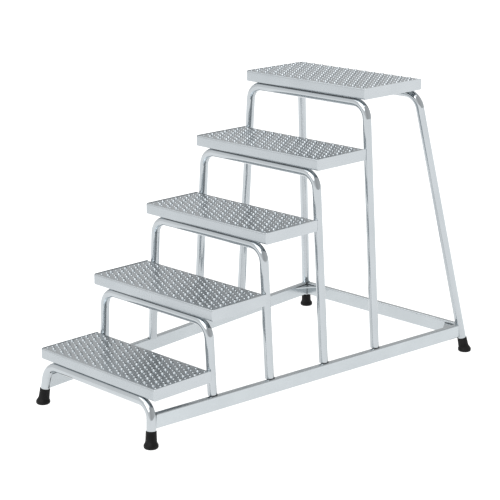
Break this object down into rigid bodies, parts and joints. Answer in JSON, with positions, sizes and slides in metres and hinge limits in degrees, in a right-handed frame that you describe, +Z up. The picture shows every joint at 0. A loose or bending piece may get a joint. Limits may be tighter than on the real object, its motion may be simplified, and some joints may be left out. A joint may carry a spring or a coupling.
{
  "type": "fixed step stand",
  "caption": "Free-standing welded step stand: studded sheet treads on bent tube hoops, a rectangular tube base and rubber feet, for climbing to a low work platform.",
  "frame": {"origin": "on the floor, midway between the four feet", "axes": "+X to the climber's right, +Y from the first step towards the high rear end, +Z up"},
  "size_m": [0.832, 1.453, 1],
  "materials": {
    "tube_steel": "smooth zinc-plated round tube, semi-gloss",
    "rail_steel": "smooth zinc-plated rectangular tube and plate, semi-gloss",
    "tread_steel": "bright plated sheet pressed with raised anti-slip studs",
    "end_plate_steel": "smooth plated sheet, semi-gloss",
    "rubber": "moulded black rubber, matte",
    "washer_steel": "plain zinc-plated disc"
  },
  "bodies": {
    "root": {"hoop_1": "tube_steel", "hoop_2": "tube_steel", "hoop_3": "tube_steel", "hoop_4": "tube_steel", "hoop_5": "tube_steel", "rear_hoop": "tube_steel", "left_rail": "rail_steel", "right_rail": "rail_steel", "rear_crossbar": "rail_steel", "left_gusset": "rail_steel", "right_gusset": "rail_steel", "step_1_pan": "tread_steel", "step_2_pan": "tread_steel", "step_3_pan": "tread_steel", "step_4_pan": "tread_steel", "platform_pan": "tread_steel", "step_1_left_end": "end_plate_steel", "step_1_right_end": "end_plate_steel", "step_2_left_end": "end_plate_steel", "step_2_right_end": "end_plate_steel", "step_3_left_end": "end_plate_steel", "step_3_right_end": "end_plate_steel", "step_4_left_end": "end_plate_steel", "step_4_right_end": "end_plate_steel", "platform_left_end": "end_plate_steel", "platform_right_end": "end_plate_steel", "front_left_foot": "rubber", "front_right_foot": "rubber", "rear_left_foot": "rubber", "rear_right_foot": "rubber", "foot_washers": "washer_steel"}
  },
  "joints": []
}
